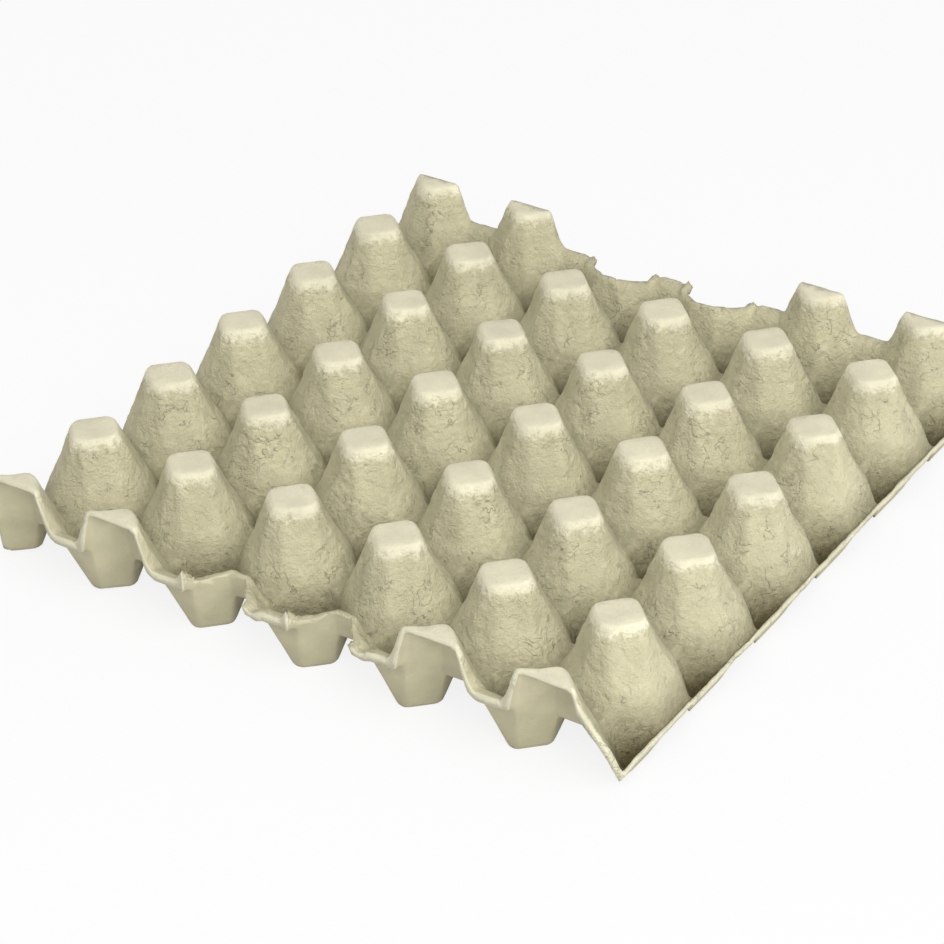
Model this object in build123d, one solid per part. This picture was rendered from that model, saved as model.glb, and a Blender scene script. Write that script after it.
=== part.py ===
from build123d import *
import os
from math import atan, cos, degrees, radians, sin, sqrt

# One moulded-pulp tray for thirty eggs, lying with its cup bottoms up. Z = 0 is the plane of the feet.
# Cups stand at every lattice point, plain half posts stand on the front and back edges, and a foot
# hangs at the middle of every lattice square.

# Lattice
pitch = 49.0
cups_across = 6
cups_deep = 5

# Sheet
height = 50.0
wall = 2.2
web_height = 18.5
edge_web_height = 28.5

# Square tips of posts, and square feet, set with their corners on the lattice lines
tip_half_diagonal = 9.8
tip_corner_cut = 1.0
foot_half_diagonal = 12.4
foot_corner_cut = 2.0
pad_half_width = 6.0

# Round cup around each full post, in flat facets
cup_radius = 22.2
cup_centre_height = 17.0
cup_ring_angles = (0, 30, 60)
cup_facets = 12

# Edges of the sheet
cut_post_height = 34.0
cut_posts_each_side = 1
rim_height = 6.5
rim_lip = 1.5
rim_step = 14.0
corner_cut_across = 12.3
corner_cut_deep = 14.7

# How far the blocks that make up a skin run on past the faces that bound them
base = 5.0

half = pitch / 2
tip_height = height - wall
post_depth = tip_height - web_height
face_run = (pitch - tip_half_diagonal - foot_half_diagonal) / tip_height
web_half_diagonal = tip_half_diagonal + face_run * post_depth
tip_reach = tip_half_diagonal - tip_corner_cut
post_reach = half - pad_half_width
post_run = (post_reach - tip_reach) / post_depth
sole_reach = foot_half_diagonal - foot_corner_cut
foot_reach = half - (web_half_diagonal - post_reach)
foot_run = (foot_reach - sole_reach) / web_height
face_slant = sqrt(1 + face_run**2 / 2)
post_slant = sqrt(1 + post_run**2)
foot_slant = sqrt(1 + foot_run**2)


def leaning(outline, run, z0, z1):
    """A block on an outline at z0, with faces that lean in by run for each millimetre towards z1."""
    body = extrude(outline, amount=abs(z1 - z0), taper=degrees(atan(run)))
    return Pos(0, 0, z0) * Rot(180 if z1 < z0 else 0, 0, 0) * body


def pyramid(half_diagonal, reach, side_run, z0, z1):
    """A square block turned by 45 degrees and narrowing towards z1, with its corners cut off flat."""
    turned = Rot(0, 0, 45) * Rectangle(sqrt(2) * half_diagonal, sqrt(2) * half_diagonal)
    body = leaning(turned, face_run / sqrt(2), z0, z1)
    return body & leaning(Rectangle(2 * reach, 2 * reach), side_run, z0, z1)


def post(grow):
    """The upper half of a post, from below the web to its tip, with its faces moved out by grow."""
    z0 = web_height - base
    depth = tip_height - z0
    half_diagonal = tip_half_diagonal + face_run * depth + sqrt(2) * face_slant * grow
    reach = tip_reach + post_run * depth + post_slant * grow
    return pyramid(half_diagonal, reach, post_run, z0, tip_height + grow)


def foot(grow):
    """The hollow above a foot, from over the web down to its floor, with its faces moved in by grow."""
    z0 = edge_web_height + base
    half_diagonal = foot_half_diagonal + face_run * z0 - sqrt(2) * face_slant * grow
    reach = sole_reach + foot_run * z0 - foot_slant * grow
    return pyramid(half_diagonal, reach, foot_run, z0, grow)


def block(x0, x1, y0, y1, z0, z1):
    return Pos((x0 + x1) / 2, (y0 + y1) / 2, (z0 + z1) / 2) * Box(x1 - x0, y1 - y0, z1 - z0)


def cup_outline(radius):
    return RegularPolygon(radius, cup_facets, major_radius=False, rotation=180 / cup_facets)


def cup(grow):
    """A round-topped cup in flat facets, straight below its widest ring."""
    radius = cup_radius + grow
    rings = []
    for angle in cup_ring_angles:
        rings.append((radius * cos(radians(angle)), cup_centre_height + radius * sin(radians(angle))))
    body = extrude(Pos(0, 0, -base) * cup_outline(radius), amount=base + cup_centre_height)
    for (r0, z0), (r1, z1) in zip(rings, rings[1:]):
        body += leaning(cup_outline(r0), (r0 - r1) / (z1 - z0), z0, z1)
    return body


def skin(grow, has_cup, has_rim):
    """Everything below one face of the sheet, over one lattice square around a post."""
    body = block(-half, half, -half, half, -base, web_height + grow)
    if not has_cup:
        body += block(-half, 0 if has_rim else half, -half / 2, half / 2, -base, edge_web_height + grow)
    for x in (-half, half):
        for y in (-half, half):
            body -= Pos(x, y, 0) * foot(grow)
    if has_rim and has_cup:
        body -= block(rim_step, half, -half, half, rim_height + grow, height)
    if has_rim:
        body += block(half - grow, half + rim_lip, -half, half, -base, rim_height + grow)
    body += post(grow) & block(-half, half, -half, half, web_height - base, height)
    if has_cup:
        body += cup(grow)
    return body


def sheet(has_cup, has_rim=False):
    """One lattice square of the sheet: what lies between its upper and its lower face."""
    return skin(wall, has_cup, has_rim) - skin(0, has_cup, has_rim)


def edge_piece(square):
    """The inner half of a square whose post stands on the front edge."""
    return square & block(-pitch, pitch, 0, half, 0, height)


def outline():
    """The plan of the whole sheet, with its four corners cut off."""
    half_width = half * cups_across + rim_lip
    half_depth = half * (cups_deep + 1)
    across = corner_cut_across + rim_lip
    deep = across * corner_cut_deep / corner_cut_across
    corners = [(half_width, half_depth - deep), (half_width - across, half_depth)]
    corners += [(-x, y) for x, y in reversed(corners)]
    corners += [(-x, -y) for x, y in corners]
    return extrude(make_face(Polyline(*corners, close=True)), height)


inner_square = sheet(has_cup=True)
side_square = sheet(has_cup=True, has_rim=True)
edge_square = edge_piece(sheet(has_cup=False))
cut_square = edge_square & block(-half, half, 0, half, 0, cut_post_height)
corner_square = edge_piece(sheet(has_cup=False, has_rim=True))

# The two ends of a row are the same square, turned round
squares = []
for column in range(cups_across):
    x = (column - (cups_across - 1) / 2) * pitch
    from_side = min(column, cups_across - 1 - column)
    from_middle = cups_across // 2 - 1 - from_side
    for row in range(cups_deep):
        y = (row - (cups_deep - 1) / 2) * pitch
        square = inner_square if from_side else side_square
        squares.append(Pos(x, y, 0) * Rot(0, 0, 180 if x < 0 else 0) * square)
    for side in (-1, 1):
        y = side * half * (cups_deep + 1)
        if from_side == 0:
            square = corner_square if x * side < 0 else mirror(corner_square, Plane.YZ)
        else:
            square = cut_square if from_middle < cut_posts_each_side else edge_square
        squares.append(Pos(x, y, 0) * Rot(0, 0, 180 if side > 0 else 0) * square)

egg_tray = squares[0].fuse(*squares[1:]) & outline()

os.makedirs("parts", exist_ok=True)
export_step(egg_tray, "parts/egg_tray.step")
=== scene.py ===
import math
import bmesh
import bpy
import numpy as np
from mathutils import Matrix, Vector


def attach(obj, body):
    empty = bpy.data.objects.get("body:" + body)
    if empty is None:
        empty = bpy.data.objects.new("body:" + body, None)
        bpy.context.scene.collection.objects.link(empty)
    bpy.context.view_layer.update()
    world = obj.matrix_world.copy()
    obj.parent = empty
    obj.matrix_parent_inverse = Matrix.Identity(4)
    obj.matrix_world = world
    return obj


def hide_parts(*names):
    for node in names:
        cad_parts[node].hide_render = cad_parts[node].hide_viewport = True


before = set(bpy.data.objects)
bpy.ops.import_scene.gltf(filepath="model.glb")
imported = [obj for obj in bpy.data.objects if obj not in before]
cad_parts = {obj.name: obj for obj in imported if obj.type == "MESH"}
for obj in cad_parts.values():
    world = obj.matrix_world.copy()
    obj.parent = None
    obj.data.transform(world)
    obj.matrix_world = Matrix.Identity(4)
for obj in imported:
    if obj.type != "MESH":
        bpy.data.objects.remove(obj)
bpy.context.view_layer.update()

MM = 0.001
ROOT2 = math.sqrt(2)

# Sheet, in millimetres, as in the CAD part: x runs across six cups, and the front edge is at -SIDE_Y
PITCH = 49.0
HALF = PITCH / 2
HEIGHT = 50.0
WALL = 2.2
WEB = 18.5
EDGE_WEB = 28.5
TIP_DIAGONAL = 9.8
TIP_REACH = 8.8
SOLE_DIAGONAL = 12.4
SOLE_REACH = 10.4
PAD = 6.0
CUT_HEIGHT = 34.0
RIM_HEIGHT = 6.5
RIM_LIP = 1.5
RIM_STEP = 14.0
SIDE_X = 147.0
SIDE_Y = 147.0
OUTER_X = SIDE_X + RIM_LIP
CORNER_X = 12.3
CORNER_Y = 14.7

# Cups, which are egg-shaped here: their radius, the height of its centre, and the rise from there to the top
CUP_RADIUS = 22.2
CUP_CENTRE = 8.0
CUP_RISE = 27.8
CUP_DRAFT = math.radians(13)

# Warp, wear and soft steps, which the CAD part leaves out
WAVE = 0.7
WAVE_SIZE = 38
TIP_SINK = 0.4
EDGE_BULGE = 2.0
LOW_WEB_SINK = 2.5
RIM_CURL = 3.5
RIM_CURL_BACK = 2.5
STEP_SLOPE = 3.2
STEP_OUT = 2.5
LIP_SLOPE = 1.4
LIP_WALL = 1.5
LIP_REACH = 12
LEFT_FLARE = 3.0
LOW_POST_SHIFT = 4.0
LEFT_SOLE_LIFT = 3.0
CORNER_SOLE_LIFT = 5.0
FRONT_RIGHT_CORNER_Y = 19.0

# Torn line of the low half posts: how far it reaches to either side, how ragged it is, and the height
# that stands for no line at all
TORN_REACH = 19.5
TORN_RAGGED = 0.6
NOT_TORN = 1000.0

# Where the upper and the lower face come closer than this, they are joined
JOIN = 0.05

# How far inside an edge the ragged outline begins
RAGGED_BAND = 5

# Slopes of the sheet's flat faces, and how far each shifts sideways for a millimetre of wall
TIP_HEIGHT = HEIGHT - WALL
FACE_RUN = (PITCH - TIP_DIAGONAL - SOLE_DIAGONAL) / TIP_HEIGHT
WEB_DIAGONAL = TIP_DIAGONAL + FACE_RUN * (TIP_HEIGHT - WEB)
POST_REACH = HALF - PAD
POST_RUN = (POST_REACH - TIP_REACH) / (TIP_HEIGHT - WEB)
FOOT_REACH = HALF - (WEB_DIAGONAL - POST_REACH)
FOOT_RUN = (FOOT_REACH - SOLE_REACH) / WEB
FACE_SHIFT = ROOT2 * math.sqrt(1 + FACE_RUN**2 / 2)
POST_SHIFT = math.sqrt(1 + POST_RUN**2)
FOOT_SHIFT = math.sqrt(1 + FOOT_RUN**2)

# Mesh: lines of the plan grid over each flat and each slanted stretch, and the most triangles it may have
FLAT_STEPS, STEEP_STEPS = ((9, 25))
GRID_REACH = 220.0
MOST_TRIANGLES = 195000

SEED = 7


# Noise on arrays of points

def lattice(ix, iy, iz, seed):
    """A fixed random number from -1 to 1 for each whole-number point."""
    h = (ix * 73856093) ^ (iy * 19349663) ^ (iz * 83492791) ^ (seed * 2654435761)
    h = (h ^ (h >> 13)) * 1274126177
    h = (h ^ (h >> 16)) & 0xFFFFFF
    return h / float(0xFFFFFF) * 2 - 1


def noise(x, y, z, size, seed):
    """Smooth noise from -1 to 1, with lumps about as large as size."""
    px, py, pz = x / size + 311.7, y / size + 127.1, z / size + 74.7
    ix, iy, iz = (np.floor(p).astype(np.int64) for p in (px, py, pz))
    fx, fy, fz = px - ix, py - iy, pz - iz
    fx, fy, fz = (f * f * f * (f * (f * 6 - 15) + 10) for f in (fx, fy, fz))
    total = 0.0
    for cx in (0, 1):
        wx = fx if cx else 1 - fx
        for cy in (0, 1):
            wy = fy if cy else 1 - fy
            for cz in (0, 1):
                wz = fz if cz else 1 - fz
                total = total + wx * wy * wz * lattice(ix + cx, iy + cy, iz + cz, seed)
    return total


def flat_noise(x, y, size, seed):
    return noise(x, y, 0 * x, size, seed)


def fractal(x, y, z, size, octaves, seed):
    """Noise with finer noise on it, each half as large and as strong as the one before."""
    total = 0.0
    for octave in range(octaves):
        total = total + 0.5**octave * noise(x, y, z, size / 2**octave, seed + octave)
    return total


# Shape of the two faces of the sheet

def smin(a, b, k):
    """The lower of two heights, with a round transition over a difference of k."""
    h = np.maximum(k - np.abs(a - b), 0) / k
    return np.minimum(a, b) - h * h * k / 4


def smax(a, b, k):
    return -smin(-a, -b, k)


def ramp(value, start, end):
    """A smooth way from 0 at start to 1 at end, and flat past them. The end may be below the start."""
    t = np.clip((value - start) / (end - start), 0, 1)
    return t * t * (3 - 2 * t)


def post_face(a, b, lift, grow, soft):
    """A square post, set with its corners on the lattice lines and narrowing towards its flat tip."""
    face = TIP_HEIGHT - (a + b - TIP_DIAGONAL - FACE_SHIFT * grow) / FACE_RUN
    tip = smin(TIP_HEIGHT + grow - TIP_SINK + TIP_SINK * lift, face, 2.5)
    side = TIP_HEIGHT - (smax(a, b, 0.6) - TIP_REACH - POST_SHIFT * grow) / POST_RUN
    return smin(tip, side, 3.0 * soft)


def foot_face(a, b, sole, grow, soft):
    """A square hollow between four posts, which narrows towards its sole."""
    fa, fb = np.abs(HALF - a), np.abs(HALF - b)
    face = (fa + fb - SOLE_DIAGONAL + FACE_SHIFT * grow) / FACE_RUN
    side = (smax(fa, fb, 1.0) - SOLE_REACH + FOOT_SHIFT * grow) / FOOT_RUN
    return smax(smax(face, side, 6.0 * soft), np.maximum(grow, 0) + sole, 4.0 * soft)


def cup_face(a, b, grow):
    """An egg-shaped cup around a post, which turns into a cone where it gets as steep as the draft."""
    radius, rise = CUP_RADIUS + grow, CUP_RISE + grow
    steep = 1 / math.tan(CUP_DRAFT)
    edge = radius / np.sqrt(1 + (rise / (radius * steep)) ** 2)
    far = np.sqrt(a * a + b * b)
    egg = CUP_CENTRE + rise * np.sqrt(np.maximum(1 - (np.minimum(far, edge) / radius) ** 2, 0))
    return egg - np.maximum(far - edge, 0) * steep


def edge_growth(x, y):
    """How far the lower face moves up at the front and back edges. The wall is a millimetre thinner there
    on the half posts, and two millimetres thicker between them, where it has a lip."""
    from_post = np.abs((x / PITCH) % 1 - 0.5) * PITCH
    growth = 1.0 - ramp(from_post, 8, 14) - 2.0 * ramp(from_post, 14, 19)
    return growth * ramp(np.abs(y), 141, 147) * (np.abs(x) < SIDE_X - 6)


def skin(x, y, wall):
    """Height of the lower face of the sheet where wall is 0, and of the upper one where it is WALL."""
    grow = wall if wall else edge_growth(x, y)
    soft = 1.0 if wall else 0.4

    # Place in the slightly wavy lattice: a and b are the distances from the middle of the nearest post
    wx = x + WAVE * flat_noise(x, y, WAVE_SIZE, SEED)
    wy = y + WAVE * flat_noise(x, y, WAVE_SIZE, SEED + 50)
    col = np.clip(np.floor(wx / PITCH), -3, 2)
    row = np.clip(np.floor(wy / PITCH + 0.5), -3, 3)
    dx = wx - (col + 0.5) * PITCH
    dy = wy - row * PITCH
    a, b = np.abs(dx), np.abs(dy)
    outer = np.sign(wx) * dx
    at_side = np.abs(col + 0.5) > 2
    whole = np.abs(row) < 2.5

    # Posts: those on the front edge are wider to the left, and the low ones narrower to the right
    wider = LEFT_FLARE * ramp(-y, 141, 147) * (dx < 0)
    narrower = LOW_POST_SHIFT * (np.abs(x) < PITCH) * ramp(dx, 0, 8) * ramp(-y, 122, 134)
    lift = 0.5 * lattice(col.astype(np.int64), row.astype(np.int64), 0, SEED)
    post = post_face(np.maximum(a - wider + narrower, 0), b, lift, grow, soft)

    # Feet: along the front edge their soles rise towards the left, and more at the right corner
    sole = LEFT_SOLE_LIFT * ramp(-x, 30, 147) * ramp(-y, 100, 140)
    sole = sole + CORNER_SOLE_LIFT * ramp(x, 136, 147) * ramp(-y, 114, 130)
    foot = foot_face(a, b, sole, grow, soft)

    # Web between the posts, which is higher along the front and back edges
    raised = np.where(whole, 0, ramp(b, 15, 9)) * np.where(at_side, ramp(outer, 14, 4), 1)
    web = WEB + (EDGE_WEB - WEB) * raised + EDGE_BULGE * np.where(whole, 0, ramp(b, 7, 0))
    web = web - LOW_WEB_SINK * raised * ramp(np.abs(np.abs(x) - HALF), 21, 15)
    body = smin(foot, web + grow, 4.0)

    # Low flange outside the cups at the left and right
    rim = RIM_HEIGHT + RIM_CURL + RIM_CURL_BACK * ramp(y, -100, 130) * (x > 0)
    flange = smin(body, rim + grow + STEP_SLOPE * np.maximum(RIM_STEP + STEP_OUT - outer, 0), 3.0)
    body = np.where(at_side & whole, flange, body)

    body = smax(body, post, 7.0 * soft)
    body = np.where(whole, smax(body, cup_face(a, b, grow), 5.0), body)
    lip = rim + LIP_WALL * grow - LIP_SLOPE * (OUTER_X - np.abs(x))
    return np.where(np.abs(x) > SIDE_X - LIP_REACH, smax(body, lip, 1.0), body)


def torn(x, y):
    """Height at which the low half posts in the middle of the front and back edges end."""
    across = np.abs(np.abs(x) - HALF)
    inside = (across < TORN_REACH) & (np.abs(y) > SIDE_Y - HALF)
    ragged = CUT_HEIGHT - TORN_RAGGED + TORN_RAGGED * flat_noise(x, y, 9, SEED + 80)
    ragged = ragged - 2.0 * ramp(across, 3, 14) + 9.0 * ramp(across, 15, 18)
    return np.where(inside, ragged, NOT_TORN)


def above_torn(p):
    return skin(p[:, 0], p[:, 1], 0.0) - torn(p[:, 0], p[:, 1])


# Plan of the sheet: a grid turned by 45 degrees, so that its lines follow the slanted faces

def grid_lines():
    step = PITCH / ROOT2
    flat = TIP_DIAGONAL / ROOT2
    flat_lines = np.linspace(-flat, flat, FLAT_STEPS + 1)[:-1]
    steep_lines = np.linspace(flat, step - flat, STEEP_STEPS + 1)[:-1]
    one = np.concatenate([flat_lines, steep_lines])
    count = int(GRID_REACH / step) + 2
    lines = np.concatenate([one + i * step for i in range(-count, count + 1)])
    return np.sort(lines[np.abs(lines) < GRID_REACH])


def plan_grid():
    """A new bmesh with the grid's squares on and around the sheet."""
    lines = grid_lines()
    count = len(lines)
    s, t = np.meshgrid(lines, lines, indexing="ij")
    gx = ((s + t) / ROOT2 + HALF).ravel()
    gy = ((s - t) / ROOT2).ravel()
    first = (np.arange(count - 1)[:, None] * count + np.arange(count - 1)[None, :]).ravel()
    quads = np.stack([first, first + 1, first + count + 1, first + count], axis=1)
    near = (np.abs(gx) < OUTER_X + 2) & (np.abs(gy) < SIDE_Y + 2)
    quads = quads[near[quads].all(axis=1)]
    used, quads = np.unique(quads, return_inverse=True)
    points = np.stack([gx[used], gy[used], 0 * gx[used]], axis=1)
    plan = bpy.data.meshes.new("plan")
    plan.from_pydata(points.tolist(), [], quads.reshape(-1, 4).tolist())
    bm = bmesh.new()
    bm.from_mesh(plan)
    return bm


def clip_to_outline(bm):
    """Cut the grid at the four edges and the four corners of the sheet."""
    cuts = [((OUTER_X, 0), (1, 0)), ((-OUTER_X, 0), (-1, 0))]
    cuts += [((0, SIDE_Y), (0, 1)), ((0, -SIDE_Y), (0, -1))]
    across = CORNER_X + RIM_LIP
    for sx in (-1, 1):
        for sy in (-1, 1):
            deep = FRONT_RIGHT_CORNER_Y if (sx, sy) == (1, -1) else across * CORNER_Y / CORNER_X
            length = math.hypot(deep, across)
            cuts.append(((sx * OUTER_X, sy * (SIDE_Y - deep)), (sx * deep / length, sy * across / length)))
    for (px, py), (nx, ny) in cuts:
        bmesh.ops.bisect_plane(bm, geom=bm.verts[:] + bm.edges[:] + bm.faces[:], dist=0.001,
                               plane_co=(px, py, 0), plane_no=(nx, ny, 0), clear_outer=True)
    bmesh.ops.remove_doubles(bm, verts=[v for v in bm.verts if v.is_boundary], dist=0.25)


def open_low_posts(bm):
    """Pull the grid to the torn line of the low half posts, and take out what lies inside it."""
    co = np.array([v.co[:2] for v in bm.verts])
    on_edge = np.array([v.is_boundary for v in bm.verts])
    level = above_torn(co)
    bm.verts.index_update()
    crossing = set()
    for e in bm.edges:
        i, j = e.verts[0].index, e.verts[1].index
        if (level[i] > 0) != (level[j] > 0):
            crossing.add(i if level[i] > 0 else j)
    crossing = np.array(sorted(crossing), dtype=int)

    # Newton steps along the slope, along x only on the edge, and none longer than 0.6 mm
    pulled = co[crossing].copy()
    d = 0.01
    for _ in range(6):
        f = above_torn(pulled)
        fx = (above_torn(pulled + [d, 0]) - f) / d
        fy = (above_torn(pulled + [0, d]) - f) / d
        fy = np.where(on_edge[crossing], 0, fy)
        size = np.maximum(fx * fx + fy * fy, 0.05)
        move = np.stack([-f * fx / size, -f * fy / size], axis=1)
        pulled += move / np.maximum(np.hypot(move[:, 0], move[:, 1]) / 0.6, 1)[:, None]
    co[crossing] = pulled
    level[crossing] = 0
    for i, v in enumerate(bm.verts):
        v.co = (co[i, 0], co[i, 1], 0)

    inside = [f for f in bm.faces if any(level[v.index] > 0.001 for v in f.verts)]
    bmesh.ops.delete(bm, geom=inside, context="FACES")
    bmesh.ops.delete(bm, geom=[v for v in bm.verts if not v.link_faces], context="VERTS")
    bmesh.ops.triangulate(bm, faces=[f for f in bm.faces if len(f.verts) > 4])


def ragged_outline(x, y):
    """Places of the plan's points, with those near a side drawn in by up to 2 mm, and by less than 1 mm
    near the front and back edges."""
    ragged = 0.5 + 0.35 * flat_noise(x, y, 7, SEED + 20) + 0.25 * flat_noise(x, y, 2.6, SEED + 21)
    ragged = np.clip(ragged, 0, 1.2)
    near_x = np.clip(1 - (OUTER_X - np.abs(x)) / RAGGED_BAND, 0, 1)
    near_y = np.clip(1 - (SIDE_Y - np.abs(y)) / RAGGED_BAND, 0, 1)
    px = x - np.sign(x) * (ragged * 0.9 + 0.9) * near_x
    py = y - np.sign(y) * ragged * near_y * 0.7
    return px, py


def sheet_mesh(bm):
    """The closed sheet over a plan: its upper faces, material 0, its lower ones, 1, and its edge, 2."""
    bm.verts.index_update()
    x, y = np.array([v.co[:2] for v in bm.verts]).T
    faces = [[v.index for v in f.verts] for f in bm.faces]
    loops = [e.link_loops[0] for e in bm.edges if len(e.link_faces) == 1]
    border = [(loop.vert.index, loop.link_loop_next.vert.index) for loop in loops]

    px, py = ragged_outline(x, y)
    limit = torn(x, y)
    high = np.minimum(skin(x, y, WALL), limit)
    low = np.minimum(skin(x, y, 0.0), limit)
    points = np.concatenate([np.stack([px, py, high], axis=1), np.stack([px, py, low], axis=1)])

    # The number of the point under each upper point: its own number where the two faces meet
    upper = np.arange(len(x))
    below = np.where(high - low < JOIN, upper, upper + len(x)).tolist()
    rings = [(face, 0) for face in faces]
    rings += [([below[i] for i in reversed(face)], 1) for face in faces
              if set(below[i] for i in face) != set(face)]
    for i, j in border:
        ring = list(dict.fromkeys([j, i, below[i], below[j]]))
        if len(ring) > 2:
            rings.append((ring, 2))

    made = bpy.data.meshes.new("pulp_sheet")
    made.from_pydata((points * MM).tolist(), [], [ring for ring, _ in rings])
    made.polygons.foreach_set("material_index", [kind for _, kind in rings])
    made.validate()
    return made


def delete_loose_points(mesh):
    bm = bmesh.new()
    bm.from_mesh(mesh)
    bmesh.ops.delete(bm, geom=[v for v in bm.verts if not v.link_faces], context="VERTS")
    bm.to_mesh(mesh)
    bm.free()


def roughen(mesh):
    """Pulp surface: lumps along the normals, coarse on the upper face and slight below."""
    count = len(mesh.vertices)
    points = np.zeros(count * 3, np.float32)
    normals = np.zeros(count * 3, np.float32)
    mesh.vertices.foreach_get("co", points)
    mesh.vertices.foreach_get("normal", normals)
    points = points.reshape(-1, 3).astype(float) / MM
    normals = normals.reshape(-1, 3).astype(float)
    x, y, z = points.T
    up = np.clip(normals[:, 2] * 4, 0, 1)
    ridges = 1 - 2 * np.abs(noise(x, y, z, 2.3, SEED + 60))
    lumps = 0.32 * fractal(x, y, z, 9.0, 2, SEED + 30)
    lumps = lumps + 0.20 * fractal(x, y, z, 3.0, 2, SEED + 40) + 0.10 * ridges

    # Calmer on the tips, and away from the posts
    a = np.abs((x / PITCH) % 1 - 0.5) * PITCH
    b = np.abs((y / PITCH + 0.5) % 1 - 0.5) * PITCH
    calm = (1 - 0.8 * ramp(z, 44.0, 47.0)) * (1 - 0.7 * ramp(np.hypot(a, b), 19, 24))
    amount = lumps * calm * up + (1 - up) * 0.05 * noise(x, y, z, 12, SEED + 45)
    points += normals * amount[:, None]
    points = np.clip(points, (-OUTER_X, -SIDE_Y, 0), (OUTER_X, SIDE_Y, HEIGHT))
    mesh.vertices.foreach_set("co", (points * MM).astype(np.float32).ravel())
    mesh.update()


def link(o):
    bpy.context.scene.collection.objects.link(o)
    return o


plan_bm = plan_grid()
clip_to_outline(plan_bm)
open_low_posts(plan_bm)
mesh = sheet_mesh(plan_bm)
plan_bm.free()
delete_loose_points(mesh)
roughen(mesh)
mesh.polygons.foreach_set("use_smooth", [True] * len(mesh.polygons))
tray = link(bpy.data.objects.new("pulp_tray", mesh))

triangles = sum(len(p.vertices) - 2 for p in mesh.polygons)
if triangles > MOST_TRIANGLES:
    thin = tray.modifiers.new("thin", "DECIMATE")
    thin.ratio = MOST_TRIANGLES / triangles
    mesh = bpy.data.meshes.new_from_object(tray.evaluated_get(bpy.context.evaluated_depsgraph_get()))
    tray.modifiers.clear()
    tray.data = mesh


# Materials

def node(tree, kind, **values):
    made = tree.nodes.new(kind)
    for key, value in values.items():
        setattr(made, key, value)
    return made


def pulp(name, tip, mid, deep, rough_mm, fine_mm):
    """Bare pulp: deep, mid and tip are its colours from the hollows up to the tips of the posts, and a deep
    colour darker than mid is painted shade in the hollows.
    """
    m = bpy.data.materials.new(name)
    m.use_nodes = True
    tree = m.node_tree
    join = tree.links.new
    bsdf = tree.nodes["Principled BSDF"]
    where = node(tree, "ShaderNodeTexCoord").outputs["Object"]

    def split(vector):
        made = node(tree, "ShaderNodeSeparateXYZ")
        join(vector, made.inputs[0])
        return made.outputs

    def cloud(scale, detail, roughness=0.5, distortion=0.0):
        made = node(tree, "ShaderNodeTexNoise")
        join(where, made.inputs["Vector"])
        made.inputs["Scale"].default_value = scale
        made.inputs["Detail"].default_value = detail
        made.inputs["Roughness"].default_value = roughness
        made.inputs["Distortion"].default_value = distortion
        return made.outputs["Fac"]

    def mapped(value, low, high, to_low, to_high):
        made = node(tree, "ShaderNodeMapRange")
        join(value, made.inputs["Value"])
        made.inputs["From Min"].default_value = low
        made.inputs["From Max"].default_value = high
        made.inputs["To Min"].default_value = to_low
        made.inputs["To Max"].default_value = to_high
        return made.outputs["Result"]

    def maths(operation, one, two=0):
        made = node(tree, "ShaderNodeMath", operation=operation)
        for socket, value in zip(made.inputs, (one, two)):
            if isinstance(value, (int, float)):
                socket.default_value = value
            else:
                join(value, socket)
        return made.outputs[0]

    # Height with a ragged border, from 0 in the hollows to 1 at the tips
    ragged = mapped(cloud(420, 4, 0.6), 0.3, 0.7, -0.0022, 0.0022)
    level = mapped(maths("ADD", split(where)["Z"], ragged), 0.004, 0.050, 0, 1)
    # The dark deep colour, low in the hollows, is painted shade
    colours = node(tree, "ShaderNodeValToRGB")
    join(level, colours.inputs["Fac"])
    stops = colours.color_ramp.elements
    stops[0].color = deep + (1,)
    stops[1].color = tip + (1,)
    for place, colour in ((0.5, mid), (0.89, mid), (0.93, tip)):
        stops.new(place).color = colour + (1,)

    # Creases: winding lines, kept to some places and off the tips
    winding = maths("ABSOLUTE", maths("SUBTRACT", cloud(120, 3, 0.6, 0.4), 0.5))
    lines = mapped(winding, 0.0, 0.009, 1, 0)
    places = maths("MULTIPLY", mapped(cloud(70, 2), 0.52, 0.58, 0, 1), mapped(level, 0.84, 0.92, 1, 0))
    creases = maths("MULTIPLY", maths("MULTIPLY", lines, places), min(rough_mm, 1))

    # Colour, varied by blotches and dark specks, made paler on flanks that face left or right as painted
    # light, and darker in the creases as painted shade
    blotches = mapped(cloud(75, 4), 0.3, 0.7, 0.90, 1.06)
    specks = mapped(cloud(1300, 2), 0.68, 0.76, 1.0, 0.80)
    sideways = split(node(tree, "ShaderNodeNewGeometry").outputs["Normal"])["X"]
    # Painted light: flanks that face left or right are up to 18% paler
    painted_flank_light = mapped(maths("ABSOLUTE", sideways), 0.35, 0.75, 1.0, 1.18)
    # Painted shade: up to 30% darker in the creases
    flank_light_and_crease_shade = maths("SUBTRACT", painted_flank_light, maths("MULTIPLY", creases, 0.3))
    shade = node(tree, "ShaderNodeVectorMath", operation="SCALE")
    join(colours.outputs["Color"], shade.inputs[0])
    join(maths("MULTIPLY", maths("MULTIPLY", blotches, specks), flank_light_and_crease_shade), shade.inputs["Scale"])
    join(shade.outputs["Vector"], bsdf.inputs["Base Color"])
    bsdf.inputs["Roughness"].default_value = 0.95
    bsdf.inputs["Specular IOR Level"].default_value = 0.15

    # Bump: matted lumps that fade out on the tips, fine fibres all over, and the creases
    strength = mapped(level, 0.86, 0.95, rough_mm, 0.25 * rough_mm)
    lumps = maths("MULTIPLY", cloud(330, 6, 0.68, 0.15), strength)
    fibres = maths("MULTIPLY", cloud(1500, 3, 0.7, 0.3), fine_mm)
    relief = maths("SUBTRACT", maths("ADD", lumps, fibres), maths("MULTIPLY", creases, 0.5))
    bump = node(tree, "ShaderNodeBump")
    join(relief, bump.inputs["Height"])
    bump.inputs["Distance"].default_value = MM
    bump.inputs["Strength"].default_value = 1.0
    join(bump.outputs["Normal"], bsdf.inputs["Normal"])
    return m


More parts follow.
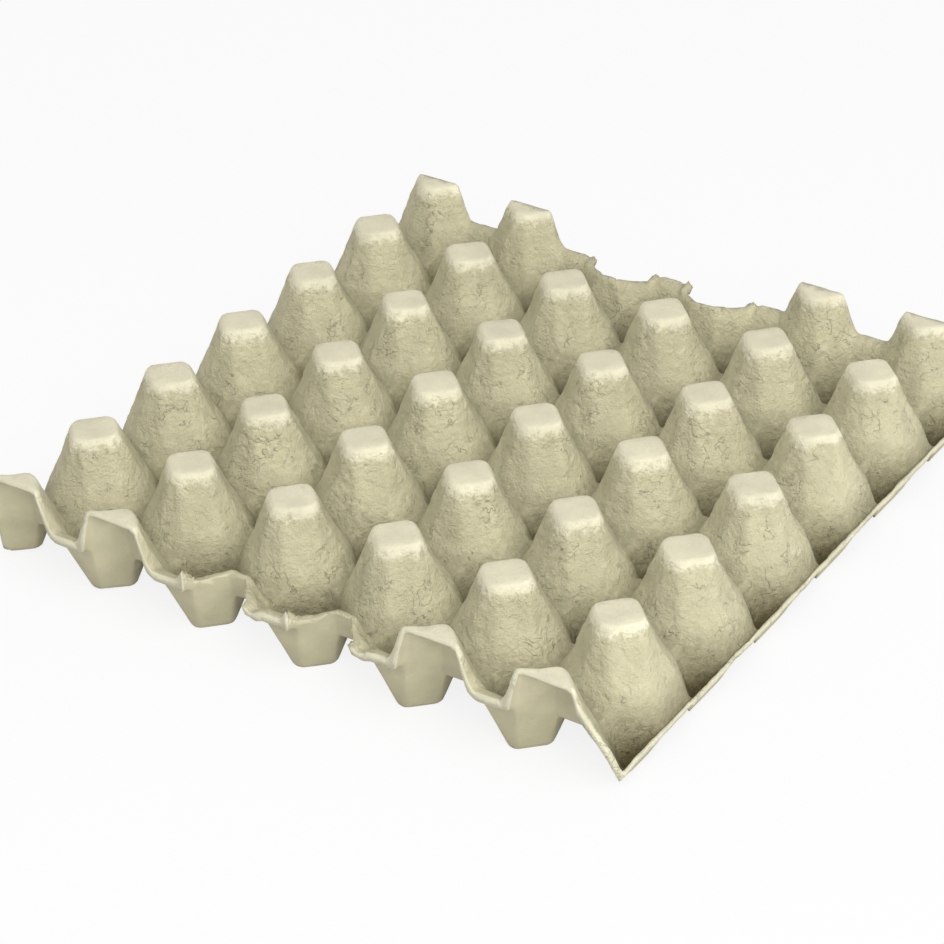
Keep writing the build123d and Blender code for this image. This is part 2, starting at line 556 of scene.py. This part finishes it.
# In the order of the mesh's material numbers
for finish in (
    # pulp_rough's dark deep colour is painted shade in the hollows
    ("pulp_rough", (0.70, 0.66, 0.49), (0.59, 0.55, 0.37), (0.13, 0.11, 0.05), 2.5, 0.6),
    # pulp_smooth, the lower face, is darker than the upper face as painted shade on the undersides and the
    # feet
    ("pulp_smooth", (0.48, 0.45, 0.31), (0.48, 0.45, 0.31), (0.46, 0.43, 0.295), 0.15, 0.12),
    ("pulp_torn", (0.68, 0.65, 0.48), (0.68, 0.65, 0.48), (0.64, 0.61, 0.44), 0.8, 0.6),
):
    mesh.materials.append(pulp(*finish))

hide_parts("egg_tray")
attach(tray, "root")

# Floor, which the camera sees nearly white, while it lights the tray as a pale grey one
FLOOR_GLOW = 0.85
floor_mesh = bpy.data.meshes.new("floor")
floor_mesh.from_pydata([(-4, -4, 0), (4, -4, 0), (4, 4, 0), (-4, 4, 0)], [], [(0, 1, 2, 3)])
floor = link(bpy.data.objects.new("floor", floor_mesh))
white = bpy.data.materials.new("floor_white")
white.use_nodes = True
tree = white.node_tree
matt = tree.nodes["Principled BSDF"]
matt.inputs["Base Color"].default_value = (0.7, 0.7, 0.7, 1)
matt.inputs["Roughness"].default_value = 1.0
blend = node(tree, "ShaderNodeMixShader")
share = node(tree, "ShaderNodeMath", operation="MULTIPLY")
share.inputs[1].default_value = FLOOR_GLOW
tree.links.new(node(tree, "ShaderNodeLightPath").outputs["Is Camera Ray"], share.inputs[0])
tree.links.new(share.outputs[0], blend.inputs[0])
tree.links.new(matt.outputs[0], blend.inputs[1])
tree.links.new(node(tree, "ShaderNodeEmission").outputs[0], blend.inputs[2])
tree.links.new(blend.outputs[0], tree.nodes["Material Output"].inputs["Surface"])
floor_mesh.materials.append(white)

# Light: an even white sky, and one large lamp at the front right, aimed at the middle
world = bpy.data.worlds.new("world")
bpy.context.scene.world = world
world.use_nodes = True
sky = world.node_tree.nodes["Background"]
sky.inputs["Color"].default_value = (1, 1, 1, 1)
sky.inputs["Strength"].default_value = 0.58
lamp = bpy.data.lights.new("key", "AREA")
lamp.shape = "SQUARE"
lamp.size = 2.0
lamp.energy = 53
key = link(bpy.data.objects.new("key", lamp))
key.location = (1.14, -1.02, 1.58)
key.rotation_euler = (-key.location).to_track_quat("-Z", "Y").to_euler()

# Camera, fitted to the photograph
camera = bpy.data.cameras.new("camera")
camera.sensor_width = 36
camera.lens = 121.66
camera.clip_start = 0.01
camera.clip_end = 50
eye = link(bpy.data.objects.new("camera", camera))
right = Vector((0.8321939, 0.55350587, -0.03293258))
above = Vector((-0.27777107, 0.46755773, 0.83918591))
back = Vector((0.47989221, -0.68921768, 0.54284662))
turn = Matrix((right, above, back)).transposed().to_4x4()
eye.matrix_world = Matrix.Translation((0.61732, -0.89837, 0.71927)) @ turn
bpy.context.scene.camera = eye
bpy.context.scene.view_settings.view_transform = "Standard"
